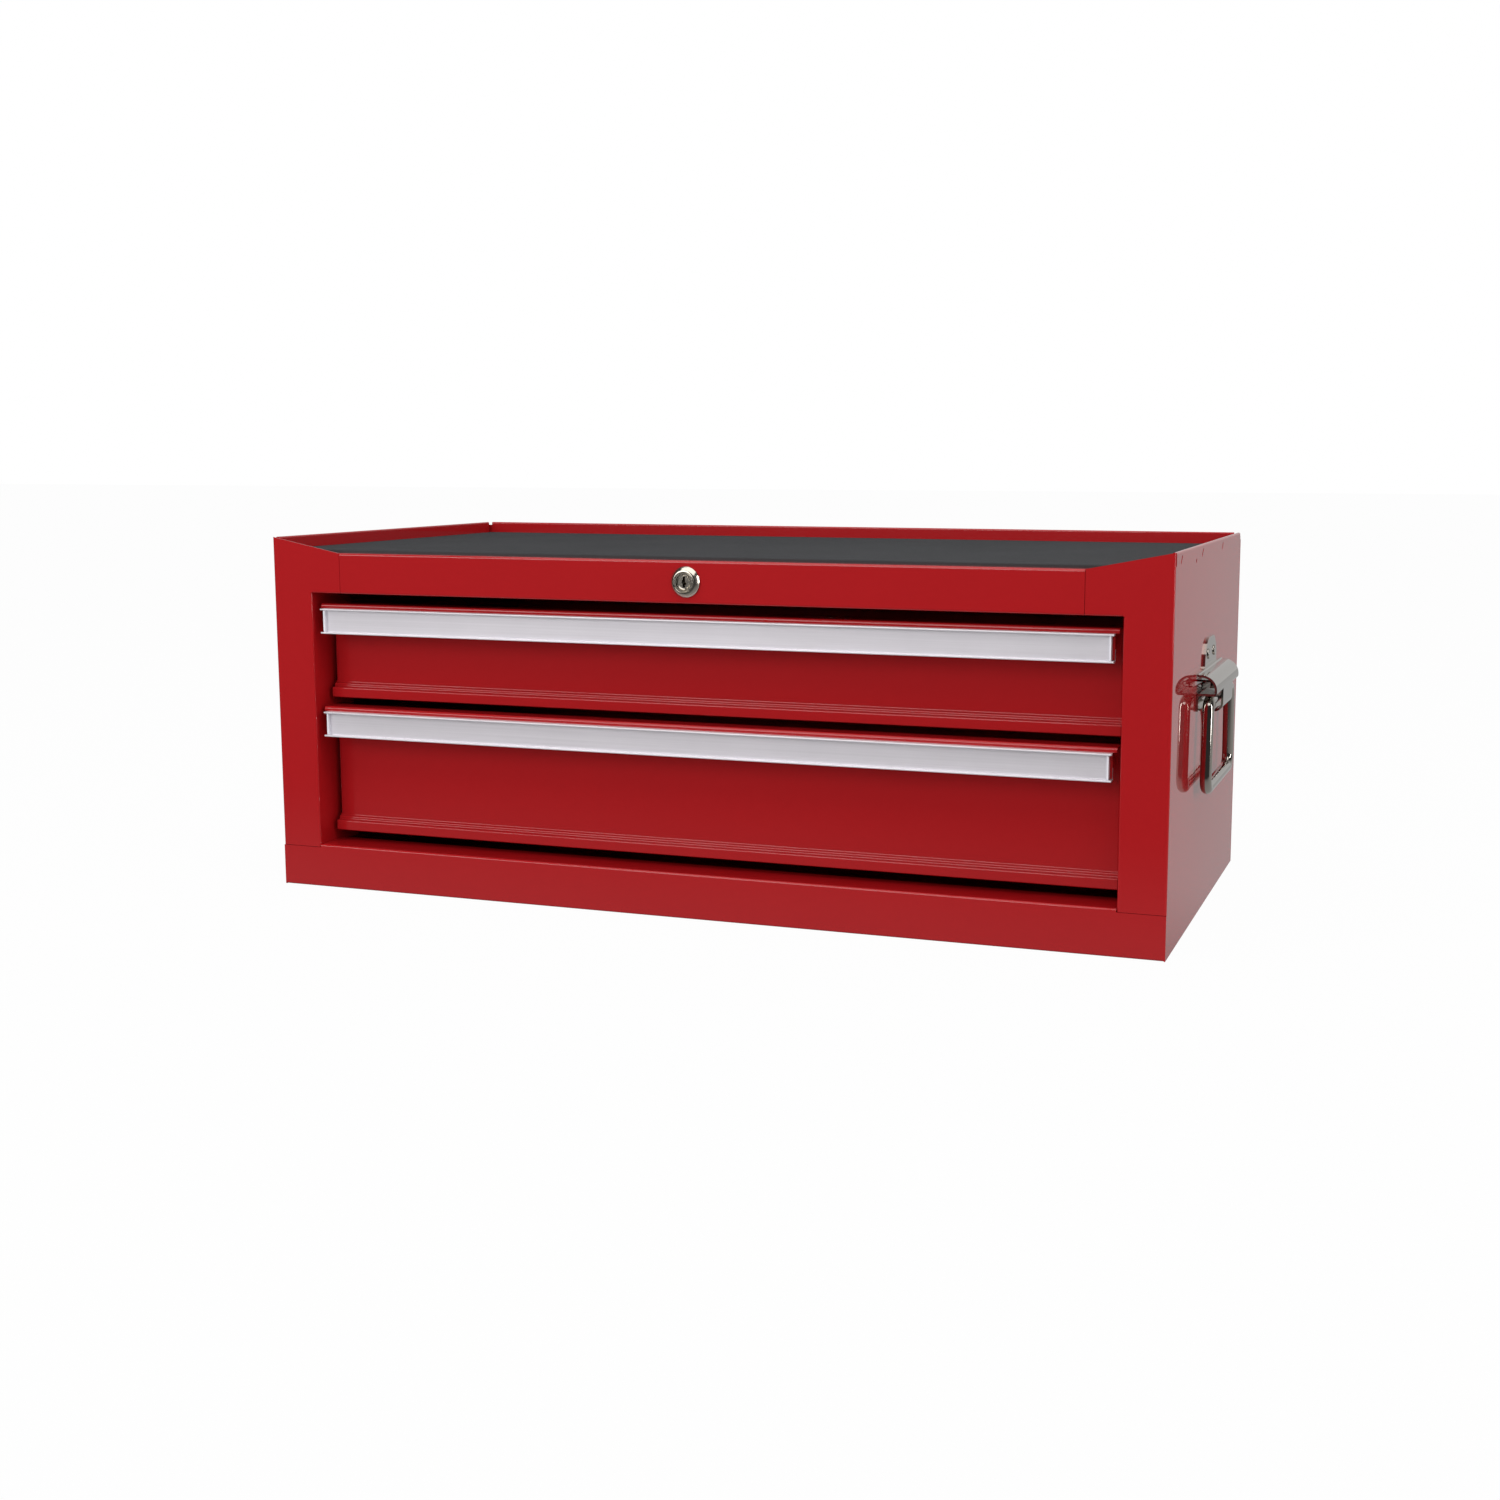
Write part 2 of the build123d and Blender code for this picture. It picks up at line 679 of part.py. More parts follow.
# the tail rod runs back under the deck to a crank that lifts the lock bar
rod_radius = 3.0
crank_front = 141.0
crank_thickness = 3.0
crank_back = crank_front + crank_thickness
with BuildPart() as lock_tail_rod:
    with BuildSketch(facing_front(crank_back)):
        with Locations((0, lock_z)):
            Circle(rod_radius)
    extrude(amount=crank_back - neck_back)
save(lock_tail_rod.part, "lock_tail_rod")

pin_offset = crank_radius / sqrt(2)
pin_x = pin_offset
pin_z = lock_z + pin_offset
pin_radius = 2.0
bar_front = 146.0
bar_steel = 2.0
with BuildPart() as lock_crank:
    with BuildSketch(facing_front(crank_back)):
        with Locations((0, lock_z)):
            Circle(7)
        with Locations((pin_x, pin_z)):
            Circle(4.2)
        make_hull()
        with Locations((0, lock_z)):
            Circle(rod_radius, mode=Mode.SUBTRACT)
    extrude(amount=crank_thickness)
    with BuildSketch(facing_front(bar_front + bar_steel + 2.5)):
        with Locations((pin_x, pin_z)):
            Circle(pin_radius)
    extrude(amount=bar_front + bar_steel + 2.5 - crank_back)
save(lock_crank.part, "lock_crank")

hanger_y = [0.0, 118.0]
hanger_steel = 1.5
hanger_half = 12.0
with BuildPart() as rod_hangers:
    for y in hanger_y:
        hanger = [(y, lock_z - 9), (y, deck_low), (y + 12, deck_low)]
        section = folded(across(-hanger_half), hanger, 2.2, Side.RIGHT, hanger_steel)
        extrude(section, amount=2 * hanger_half)
    low_corners = rod_hangers.edges().filter_by(Axis.Y).group_by(Axis.Z)[0]
    fillet(low_corners, radius=6)
    drill_y([(0, lock_z)], rod_radius + 0.06, hanger_y[0] - 1, hanger_y[-1] + 3)
save(rod_hangers.part, "rod_hangers")

# lock bar: a flat strip with a side flange that carries one hook for each drawer
bar_left = -6.0
bar_right = 16.0
bar_low = 112.0
bar_top = 246.6
stud_x = 5.0
stud_z = [134.0, 190.0]
stud_radius = 3.0
slot_play = 0.4
hook_front = pan_back - 9.5
hook_tip = 4.9
hook_arm = 6.0
hook_lift = 2.5  # clear height over the drawer's back wall while unlocked
bar_back = bar_front + bar_steel
slot_left = stud_x - stud_radius - slot_play
slot_right = stud_x + stud_radius + slot_play
pin_play = 0.6
with BuildPart() as lock_bar:
    block((bar_left, bar_front, bar_low), (bar_right, bar_back, bar_top))
    block((bar_left, bar_front - 8, bar_low), (bar_left + bar_steel, bar_back, bar_top - 22))
    for drawer in drawers.values():
        tip_low = drawer["rim"] + hook_lift
        arm_low = tip_low + crank_drop - 1.0
        hook_right = bar_left + bar_steel
        block((bar_left, hook_front, arm_low), (hook_right, bar_front, arm_low + hook_arm))
        block((bar_left, hook_front, tip_low), (hook_right, hook_front + hook_tip, arm_low + hook_arm))
    # slot for the crank pin, and two long slots for the guide studs
    pin_reach = pin_radius + pin_play
    block(
        (slot_left, bar_front - 1, pin_z - pin_reach),
        (crank_radius + pin_reach, bar_back + 1, pin_z + pin_reach),
        Mode.SUBTRACT,
    )
    for z in stud_z:
        slot_low = z - stud_radius - slot_play
        slot_high = z + stud_radius + slot_play + crank_drop
        block((slot_left, bar_front - 1, slot_low), (slot_right, bar_back + 1, slot_high), Mode.SUBTRACT)
bar_plates = plates_of(
    [lock_bar.part.solid()],
    facing_front(bar_front),
    facing_front(bar_front - 8),
    facing_front(hook_front + hook_tip),
    across(slot_left),
    across(slot_right),
    Plane.XY.offset(pin_z - pin_reach),
    Plane.XY.offset(pin_z + pin_reach),
)
save(Compound(children=bar_plates), "lock_bar")

shoulder_front = bar_back + slot_play
head_back = bar_front - slot_play
stud_discs = []
for z in stud_z:
    for radius, y_front, y_back in (
        (5.0, shoulder_front, skin_back),
        (stud_radius, head_back, shoulder_front),
        (6.0, head_back - 2, head_back),
    ):
        with BuildPart() as stud_disc:
            with BuildSketch(facing_front(y_back)):
                with Locations((stud_x, z)):
                    Circle(radius)
            extrude(amount=y_back - y_front)
        stud_discs.append(stud_disc.part.solid())
save(Compound(children=stud_discs), "bar_studs")

# ------------------------------------------------------------------ side handles
plate = 1.5
hood_top = 172.5  # the hood curls over the pivot from here
hood_out = half_width + 14.0
hood_low = pivot_z + wire / 2 + 0.5  # the hood's wings end just above the wire
apron_low = 144.0
plate_low = 147.5  # the back plate ends here, behind the wire
tongue_top = 194.0
tab_low = 125.0
wing_half = 57.0
tongue_half = 28.0
apron_half = 24.0
tab_half = 9.0
half_outline_radii = [19, 3, 1, 1, 1, 2, 6]
hood_radius = 10.5
plate_face = half_width + plate

with BuildPart() as handle_bracket:
    # in the middle the hood goes down round the wire, as an apron
    middle_hood = [
        (plate_face, tongue_top + 1),
        (plate_face, hood_top),
        (hood_out, hood_top),
        (hood_out, apron_low),
        (plate_face, apron_low),
        (plate_face, tab_low - 1),
    ]
    middle_plane = facing_front(handle_y + apron_half)
    middle_radii = [1.0, hood_radius, 6.0, 1.0]
    extrude(folded(middle_plane, middle_hood, middle_radii, Side.RIGHT, plate), amount=2 * apron_half)
    # on each side of it the hood closes above the wire and its plate runs on behind
    wing_hood = [
        (plate_face, tongue_top + 1),
        (plate_face, hood_top),
        (hood_out, hood_top),
        (hood_out, hood_low),
        (plate_face, hood_low),
        (plate_face, plate_low),
    ]
    wing_radii = [1.0, hood_radius, 2.5, 1.0]
    for wing_back in (handle_y - apron_half, handle_y + wing_half):
        wing_section = folded(facing_front(wing_back), wing_hood, wing_radii, Side.RIGHT, plate)
        extrude(wing_section, amount=wing_half - apron_half)
    # its outline seen from the side: rounded tongue, two wings, apron and pointed tab
    with BuildSketch(across(half_width - 1)) as outline:
        half_outline = [
            (tongue_half, tongue_top),
            (tongue_half, hood_top + 1.1),
            (wing_half, hood_top + 1.1),
            (wing_half, plate_low),
            (apron_half, plate_low),
            (apron_half, apron_low),
            (tab_half, tab_low),
        ]
        with BuildLine():
            FilletPolyline(
                *[(handle_y + y, z) for y, z in half_outline],
                *[(handle_y - y, z) for y, z in reversed(half_outline)],
                close=True,
                radius=half_outline_radii + half_outline_radii[::-1],
            )
        make_face()
    extrude(outline.sketch, amount=20, mode=Mode.INTERSECT)
    drill_x(handle_rivets, rivet_hole, half_width - 1, plate_face + 1)
save_pair(handle_bracket.part, "handle_bracket")

with BuildPart() as handle_rivet_set:
    domed = rivet(plate + sheet, (3.2, 1.4), head=(3.6, 0.9))
    place(domed, [Plane(origin=(plate_face, y, z), z_dir=(1, 0, 0)) for y, z in handle_rivets])
save_pair(handle_rivet_set.part, "handle_rivets")

# the bail: one bent wire whose ends meet, 4 mm apart, behind the apron
bail_half_top = 53.0
bail_half_low = 57.0
bail_low = 94.0
wire_x = half_width + pivot_out
with BuildPart() as bail:
    with BuildLine():
        FilletPolyline(
            (wire_x, handle_y + 2, pivot_z),
            (wire_x, handle_y + bail_half_top, pivot_z),
            (wire_x, handle_y + bail_half_low, bail_low),
            (wire_x, handle_y - bail_half_low, bail_low),
            (wire_x, handle_y - bail_half_top, pivot_z),
            (wire_x, handle_y - 2, pivot_z),
            radius=[7, 9, 9, 7],
        )
    with BuildSketch(Plane(origin=(wire_x, handle_y + 2, pivot_z), z_dir=(0, 1, 0))):
        Circle(wire / 2)
    sweep()
save_pair(bail.part, "bail")
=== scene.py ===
# %% [markdown]
# # A red steel tool chest, dressed for the studio
#
# The chest is already modelled to size in CAD: folded steel sheets, drawers on ball slides, a key
# lock and two drop handles. This notebook loads that model, gives every piece its finish, and makes
# in Blender what the plain CAD leaves out: the ribs of the rubber mats, and the turned face of the
# lock with its keyway.

# %% Load the CAD model
import json
from math import cos, pi, radians, sin

import bmesh
import bpy
from mathutils import Matrix, Vector


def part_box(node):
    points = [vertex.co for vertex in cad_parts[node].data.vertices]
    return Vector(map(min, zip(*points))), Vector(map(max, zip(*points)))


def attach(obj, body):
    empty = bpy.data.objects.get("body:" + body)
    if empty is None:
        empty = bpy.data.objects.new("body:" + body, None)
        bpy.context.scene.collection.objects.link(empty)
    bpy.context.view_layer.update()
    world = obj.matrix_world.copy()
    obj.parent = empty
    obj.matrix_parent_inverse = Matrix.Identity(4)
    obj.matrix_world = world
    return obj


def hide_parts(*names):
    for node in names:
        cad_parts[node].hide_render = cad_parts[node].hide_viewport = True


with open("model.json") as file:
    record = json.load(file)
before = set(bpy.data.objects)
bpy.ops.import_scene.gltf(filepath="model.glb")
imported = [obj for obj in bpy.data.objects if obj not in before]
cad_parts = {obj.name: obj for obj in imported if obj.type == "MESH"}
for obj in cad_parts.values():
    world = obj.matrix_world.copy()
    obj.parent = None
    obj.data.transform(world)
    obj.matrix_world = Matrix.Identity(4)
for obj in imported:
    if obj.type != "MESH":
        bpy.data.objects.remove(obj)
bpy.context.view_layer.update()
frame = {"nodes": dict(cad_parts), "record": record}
nodes = frame["nodes"]
mm = 0.001


def new_object(name, data):
    """An object that is linked to the scene."""
    thing = bpy.data.objects.new(name, data)
    bpy.context.scene.collection.objects.link(thing)
    return thing


# %% [markdown]
# ## The camera
#
# The chest was photographed from the front and a little to its right, with the lens just above its
# top edge. The corners of the front face were used to solve where the camera stood, how long its
# lens was, and how far the picture was cropped off centre. The crop becomes a small lens shift, so
# the upright edges converge as they do in the photograph.

# %% Camera at the photograph's place
sensor_width = 36.0
photo_width = 1500  # pixels
focal_length = 1888  # in the same pixels
camera_tilt = 8.09  # degrees below level
camera_turn = 19.74  # degrees to the left of straight ahead

camera_data = bpy.data.cameras.new("photo_camera")
camera_data.sensor_fit = "HORIZONTAL"
camera_data.sensor_width = sensor_width
camera_data.lens = focal_length / photo_width * sensor_width
camera_data.shift_x = -0.040
camera_data.shift_y = -0.020
camera = new_object("photo_camera", camera_data)
camera.location = (0.512, -1.335, 0.322)
camera.rotation_euler = (radians(90 - camera_tilt), 0.0, radians(camera_turn))
bpy.context.scene.camera = camera
bpy.context.scene.view_settings.view_transform = "Standard"

# %% [markdown]
# ## Light and floor
#
# Painted steel shows its shape by what it mirrors, so the light comes from large soft panels, as in a
# catalogue studio. One big panel hangs above and in front, a second one stands at the front left and
# fills the shade, and a narrow strip at the right draws bright lines on the handle. The camera sees
# white all round, like the background of the photograph. A mirror finish sees a room and a floor that
# are bright behind the chest and dim on the camera's side, which is why the front is a deep red while
# the end panel, seen at a slant, is pale and mirrors the handle.


# %% Helpers for lamps and node trees
def light_panel(name, place, target, size, watts):
    """A soft rectangular lamp that faces a target point."""
    data = bpy.data.lights.new(name, "AREA")
    data.shape = "RECTANGLE"
    data.size, data.size_y = size
    data.energy = watts
    lamp = new_object(name, data)
    lamp.location = place
    lamp.rotation_euler = (Vector(target) - Vector(place)).to_track_quat("-Z", "Y").to_euler()
    return lamp


def joined(tree, start, end):
    """A link between two sockets of a shader or geometry tree."""
    tree.links.new(start, end)


def feed(tree, value, socket):
    """A number is set on the socket, and another socket is linked to it."""
    if isinstance(value, (int, float)):
        socket.default_value = value
    else:
        joined(tree, value, socket)


def math_node(tree, operation, first, second):
    """One math operation on two numbers or sockets."""
    node = tree.nodes.new("ShaderNodeMath")
    node.operation = operation
    for socket, value in zip(node.inputs, (first, second)):
        feed(tree, value, socket)
    return node.outputs[0]


def ray_is(tree, *kinds):
    """1 for rays of any of these kinds, else 0."""
    path = tree.nodes.new("ShaderNodeLightPath")
    result = path.outputs[kinds[0]]
    for kind in kinds[1:]:
        result = math_node(tree, "MAXIMUM", result, path.outputs[kind])
    return result


def blend(tree, factor, first, second):
    """Two numbers or sockets, mixed by a factor."""
    node = tree.nodes.new("ShaderNodeMix")
    joined(tree, factor, node.inputs["Factor"])
    feed(tree, first, node.inputs["A"])
    feed(tree, second, node.inputs["B"])
    return node.outputs["Result"]


def brighter_behind(tree, vector, start, end, low, high):
    """A brightness that grows from low to high along +Y, away from the camera."""
    parts = tree.nodes.new("ShaderNodeSeparateXYZ")
    joined(tree, vector, parts.inputs["Vector"])
    ramp = tree.nodes.new("ShaderNodeMapRange")
    ramp.interpolation_type = "SMOOTHSTEP"
    for label, value in (("From Min", start), ("From Max", end), ("To Min", low), ("To Max", high)):
        ramp.inputs[label].default_value = value
    joined(tree, parts.outputs["Y"], ramp.inputs["Value"])
    return ramp.outputs["Result"]


# %% Light panels
chest_middle = (0.0, 0.0, 0.13)
light_panel("top_panel", (0.1, -0.5, 1.7), chest_middle, size=(2.2, 1.6), watts=20)
light_panel("front_panel", (-0.9, -2.1, 0.95), chest_middle, size=(1.6, 1.2), watts=21)
light_panel("side_strip", (2.0, -0.35, 0.6), chest_middle, size=(0.22, 1.5), watts=12)

# %% World
seen_brightness = 1.0  # what the camera sees of the room and the floor
fill_brightness = 0.50  # what the room adds to every matte surface

world = bpy.data.worlds.new("studio")
world.use_nodes = True
bpy.context.scene.world = world
sky = world.node_tree
backdrop = sky.nodes["Background"]
backdrop.inputs["Color"].default_value = (1.0, 1.0, 1.0, 1.0)
direction = sky.nodes.new("ShaderNodeTexCoord").outputs["Generated"]
mirrored_room = brighter_behind(sky, direction, start=0.2, end=0.9, low=0.04, high=0.58)
mirror_ray = ray_is(sky, "Is Glossy Ray", "Is Transmission Ray")
lit_or_mirrored = blend(sky, mirror_ray, fill_brightness, mirrored_room)
room_strength = blend(sky, ray_is(sky, "Is Camera Ray"), lit_or_mirrored, seen_brightness)
joined(sky, room_strength, backdrop.inputs["Strength"])

# %% Floor
floor_half = 14.0
paper_grey = 0.55
glow_share = 0.975  # of what the camera sees of the floor; the rest is paper that takes the shadow

floor_mesh = bpy.data.meshes.new("studio_floor")
floor_corners = [(x * floor_half, y * floor_half, 0) for x, y in ((-1, -1), (1, -1), (1, 1), (-1, 1))]
floor_mesh.from_pydata(floor_corners, [], [(0, 1, 2, 3)])
floor = new_object("studio_floor", floor_mesh)

paper = bpy.data.materials.new("white_paper")
paper.use_nodes = True
paper_tree = paper.node_tree
paper_shade = paper_tree.nodes["Principled BSDF"]
paper_shade.inputs["Base Color"].default_value = (paper_grey, paper_grey, paper_grey, 1.0)
paper_shade.inputs["Roughness"].default_value = 0.9
paper_glow = paper_tree.nodes.new("ShaderNodeEmission")
paper_glow.inputs["Color"].default_value = (1.0, 1.0, 1.0, 1.0)
floor_place = paper_tree.nodes.new("ShaderNodeTexCoord").outputs["Object"]
mirrored_floor = brighter_behind(paper_tree, floor_place, start=-0.6, end=0.1, low=0.05, high=0.44)
camera_ray = ray_is(paper_tree, "Is Camera Ray")
floor_strength = blend(paper_tree, camera_ray, mirrored_floor, seen_brightness)
joined(paper_tree, floor_strength, paper_glow.inputs["Strength"])
paper_mix = paper_tree.nodes.new("ShaderNodeMixShader")
glow_part = blend(paper_tree, camera_ray, ray_is(paper_tree, "Is Glossy Ray"), glow_share)
joined(paper_tree, glow_part, paper_mix.inputs["Fac"])
joined(paper_tree, paper_shade.outputs["BSDF"], paper_mix.inputs[1])
joined(paper_tree, paper_glow.outputs["Emission"], paper_mix.inputs[2])
joined(paper_tree, paper_mix.outputs["Shader"], paper_tree.nodes["Material Output"].inputs["Surface"])
floor_mesh.materials.append(paper)

# %% [markdown]
# ## Effects that several finishes share
#
# Three small shader groups are built once and placed in the materials with their own numbers.
#
# - **cloudy**: broad, faint patches, for the way paint, rubber and plating are never quite even.
# - **ripple**: the orange peel of stoved enamel, or the grain of rubber, as a height.
# - **drawn lines**: fine streaks along one direction, for extruded, rolled and brushed metal.


# %% Helpers for the shader groups
def shader_group(name, inputs, outputs):
    """An empty shader group with named inputs {name: (kind, value)} and outputs {name: kind}."""
    group = bpy.data.node_groups.new(name, "ShaderNodeTree")
    for label, (kind, value) in inputs.items():
        socket = group.interface.new_socket(name=label, in_out="INPUT", socket_type=kind)
        if value is not None:
            socket.default_value = value
    for label, kind in outputs.items():
        group.interface.new_socket(name=label, in_out="OUTPUT", socket_type=kind)
    return group, group.nodes.new("NodeGroupInput"), group.nodes.new("NodeGroupOutput")


def noise_node(tree, vector, scale, detail=2.0, roughness=0.5):
    """A noise texture read at a vector. Scale may be a number or a socket."""
    noise = tree.nodes.new("ShaderNodeTexNoise")
    noise.inputs["Detail"].default_value = detail
    noise.inputs["Roughness"].default_value = roughness
    joined(tree, vector, noise.inputs["Vector"])
    feed(tree, scale, noise.inputs["Scale"])
    return noise.outputs["Fac"]


def swing_about_one(tree, noise, strength):
    """A factor that swings about 1 as the noise swings about its middle."""
    centred = math_node(tree, "SUBTRACT", noise, 0.5)
    swing = math_node(tree, "MULTIPLY", centred, strength)
    return math_node(tree, "ADD", swing, 1.0)


# %% The three groups
cloudy, group_in, group_out = shader_group(
    "cloudy",
    {
        "Vector": ("NodeSocketVector", None),
        "Scale": ("NodeSocketFloat", 6.0),
        "Strength": ("NodeSocketFloat", 0.1),
    },
    {"Factor": "NodeSocketFloat"},
)
patches = noise_node(cloudy, group_in.outputs["Vector"], group_in.outputs["Scale"], 4.0, 0.55)
patch_factor = swing_about_one(cloudy, patches, group_in.outputs["Strength"])
joined(cloudy, patch_factor, group_out.inputs["Factor"])

ripple, group_in, group_out = shader_group(
    "ripple",
    {
        "Vector": ("NodeSocketVector", None),
        "Scale": ("NodeSocketFloat", 300.0),
        "Fine Share": ("NodeSocketFloat", 0.25),
    },
    {"Height": "NodeSocketFloat"},
)
broad = noise_node(ripple, group_in.outputs["Vector"], group_in.outputs["Scale"], 1.0)
fine_scale = math_node(ripple, "MULTIPLY", group_in.outputs["Scale"], 4.0)
fine = noise_node(ripple, group_in.outputs["Vector"], fine_scale, 1.0)
fine_part = math_node(ripple, "MULTIPLY", fine, group_in.outputs["Fine Share"])
joined(ripple, math_node(ripple, "ADD", broad, fine_part), group_out.inputs["Height"])

drawn_lines, group_in, group_out = shader_group(
    "drawn_lines",
    {
        "Vector": ("NodeSocketVector", None),
        "Stretch": ("NodeSocketVector", None),
        "Strength": ("NodeSocketFloat", 0.2),
    },
    {"Factor": "NodeSocketFloat", "Height": "NodeSocketFloat"},
)
stretched = drawn_lines.nodes.new("ShaderNodeVectorMath")
stretched.operation = "MULTIPLY"
joined(drawn_lines, group_in.outputs["Vector"], stretched.inputs[0])
joined(drawn_lines, group_in.outputs["Stretch"], stretched.inputs[1])
streaks = noise_node(drawn_lines, stretched.outputs["Vector"], 1.0, 3.0, 0.6)
streak_factor = swing_about_one(drawn_lines, streaks, group_in.outputs["Strength"])
joined(drawn_lines, streak_factor, group_out.inputs["Factor"])
joined(drawn_lines, streaks, group_out.inputs["Height"])
print("shader groups:", [g.name for g in bpy.data.node_groups])

# %% [markdown]
# ## The finishes
#
# Every finish is one Principled shader. Its base colour and roughness swing a little with the cloudy
# group, and its bump comes from the ripple or the drawn lines. Both read Object coordinates, so the
# pattern has its real size in metres and stays on the piece when a drawer slides out.


# %% A helper that builds a finish
def finish(name, color, roughness, metallic=0.0, coat=0.0, cloud=(5.0, 0.12), rough_cloud=(14.0, 0.3),
           bump=None, lines=None, specular=0.5):
    """A Principled material. cloud and rough_cloud are (scale, strength), bump is (scale, depth in m,
    fine share), and lines are (stretch vector, strength, depth in m)."""
    material = bpy.data.materials.new(name)
    material.use_nodes = True
    tree = material.node_tree
    shader = tree.nodes["Principled BSDF"]
    shader.inputs["Metallic"].default_value = metallic
    shader.inputs["Coat Weight"].default_value = coat
    shader.inputs["Coat Roughness"].default_value = 0.02
    shader.inputs["Specular IOR Level"].default_value = specular
    place = tree.nodes.new("ShaderNodeTexCoord").outputs["Object"]

    def placed(group, values):
        """One of the shared groups with its own numbers, read at the piece's coordinates."""
        node = tree.nodes.new("ShaderNodeGroup")
        node.node_tree = group
        for label, value in values.items():
            node.inputs[label].default_value = value
        joined(tree, place, node.inputs["Vector"])
        return node.outputs

    def clouds(scale, strength):
        return placed(cloudy, {"Scale": scale, "Strength": strength})["Factor"]

    shade = clouds(*cloud)
    rough = math_node(tree, "MULTIPLY", clouds(*rough_cloud), roughness)
    height = None
    if lines:
        stretch, strength, depth = lines
        streak = placed(drawn_lines, {"Stretch": stretch, "Strength": strength})
        shade = math_node(tree, "MULTIPLY", shade, streak["Factor"])
        rough = math_node(tree, "MULTIPLY", rough, streak["Factor"])
        height = streak["Height"]
    if bump:
        scale, depth, fine_share = bump
        height = placed(ripple, {"Scale": scale, "Fine Share": fine_share})["Height"]
    tint = tree.nodes.new("ShaderNodeVectorMath")
    tint.operation = "SCALE"
    tint.inputs[0].default_value = color
    joined(tree, shade, tint.inputs["Scale"])
    joined(tree, tint.outputs["Vector"], shader.inputs["Base Color"])
    joined(tree, rough, shader.inputs["Roughness"])
    if height is not None:
        relief = tree.nodes.new("ShaderNodeBump")
        relief.inputs["Strength"].default_value = 1.0
        relief.inputs["Distance"].default_value = depth
        joined(tree, height, relief.inputs["Height"])
        joined(tree, relief.outputs["Normal"], shader.inputs["Normal"])
        if coat:
            joined(tree, relief.outputs["Normal"], shader.inputs["Coat Normal"])
    return material


# %% [markdown]
# ### Stoved red enamel
#
# The colour is a deep red under a glossy skin, and the skin has the faint orange peel that makes a
# mirrored edge wobble. A clear coat over a rougher base gives both: the base holds the colour, the
# coat mirrors the room.

# %% Paint
red_paint = finish(
    "red_enamel", (0.380, 0.0065, 0.0090), 0.50, coat=1.0, cloud=(4.0, 0.10), rough_cloud=(9.0, 0.25),
    bump=(240.0, 1e-6, 0.2), specular=0.05,
)

# %% [markdown]
# ### Metals
#
# The drawer pulls are extruded aluminium with a satin skin, so their streaks run along the pull. The
# slides are rolled steel with bright zinc, streaked along their travel. Handles are chromed, almost
# a mirror. The lock is nickel, a warmer and duller mirror.

# %% Metals
along_x = (6.0, 900.0, 900.0)
along_y = (700.0, 8.0, 700.0)
pull_metal = finish(
    "satin_aluminium", (0.78, 0.75, 0.79), 0.36, metallic=0.40, cloud=(18.0, 0.06), rough_cloud=(30.0, 0.25),
    lines=(along_x, 0.16, 10e-6),
)
zinc = finish(
    "zinc_plate", (0.58, 0.59, 0.61), 0.30, metallic=1.0, cloud=(60.0, 0.22), rough_cloud=(80.0, 0.5),
    lines=(along_y, 0.18, 12e-6),
)
chrome = finish(
    "chrome_plate", (0.42, 0.39, 0.35), 0.06, metallic=1.0, cloud=(20.0, 0.05), rough_cloud=(60.0, 0.5),
    bump=(140.0, 15e-6, 0.1),
)
nickel = finish(
    "nickel_plate", (0.60, 0.55, 0.47), 0.20, metallic=1.0, cloud=(300.0, 0.14), rough_cloud=(500.0, 0.5),
    bump=(1500.0, 6e-6, 0.5),
)
rivet_steel = finish(
    "rivet_steel", (0.50, 0.50, 0.52), 0.34, metallic=1.0, cloud=(200.0, 0.15), bump=(900.0, 8e-6, 0.4),
)
ball_steel = finish(
    "ball_steel", (0.70, 0.70, 0.72), 0.08, metallic=1.0, cloud=(150.0, 0.05), bump=(400.0, 2e-6, 0.2),
)

# %% [markdown]
# ### Rubber and plastic
#
# The mat and the liners are dark rubber: a matte skin with a fine grain, and a little dust that
# makes it uneven. The end caps of the pulls are pale moulded plastic.

# %% Rubber and plastic
mat_rubber = finish(
    "mat_rubber", (0.026, 0.027, 0.030), 0.60, cloud=(9.0, 0.45), rough_cloud=(16.0, 0.3),
    bump=(1400.0, 30e-6, 0.6),
)
liner_rubber = finish(
    "liner_rubber", (0.030, 0.031, 0.034), 0.66, cloud=(11.0, 0.35), rough_cloud=(20.0, 0.2),
    bump=(1200.0, 40e-6, 0.6),
)
cap_plastic = finish(
    "cap_plastic", (0.78, 0.77, 0.82), 0.30, cloud=(40.0, 0.04), rough_cloud=(90.0, 0.2),
    bump=(700.0, 6e-6, 0.3),
)

# %% [markdown]
# ## Finishes go on the CAD nodes
#
# The record names a slot for every node. One table turns a slot into a finish, so no node is missed.

# %% Assign the finishes
finishes = {
    "red_paint": red_paint,
    "zinc_steel": zinc,
    "pull_aluminium": pull_metal,
    "pull_cap": cap_plastic,
    "mat_rubber": mat_rubber,
    "liner_rubber": liner_rubber,
    "handle_chrome": chrome,
    "lock_nickel": nickel,
    "rivet_steel": rivet_steel,
    "ball_steel": ball_steel,
}
node_slots = {part["node"]: part["material_slot"] for part in frame["record"]["subparts"]}
for name, node in nodes.items():
    for slot in node.material_slots:
        slot.material = finishes[node_slots[name]]
print("dressed", len(nodes), "CAD nodes")

# %% [markdown]
# ## Ribbed mats
#
# The tray holds a rubber mat with fine ribs that run from side to side, and each drawer has the same
# kind of liner. A rib is a round strip, half sunk in the slab below it. Geometry Nodes suit it: one
# profile is swept along a line, the strip is repeated at an even pitch from front to back, and a
# plain slab lies under the ribs. The tree takes its sizes as inputs, so one tree makes all three mats.


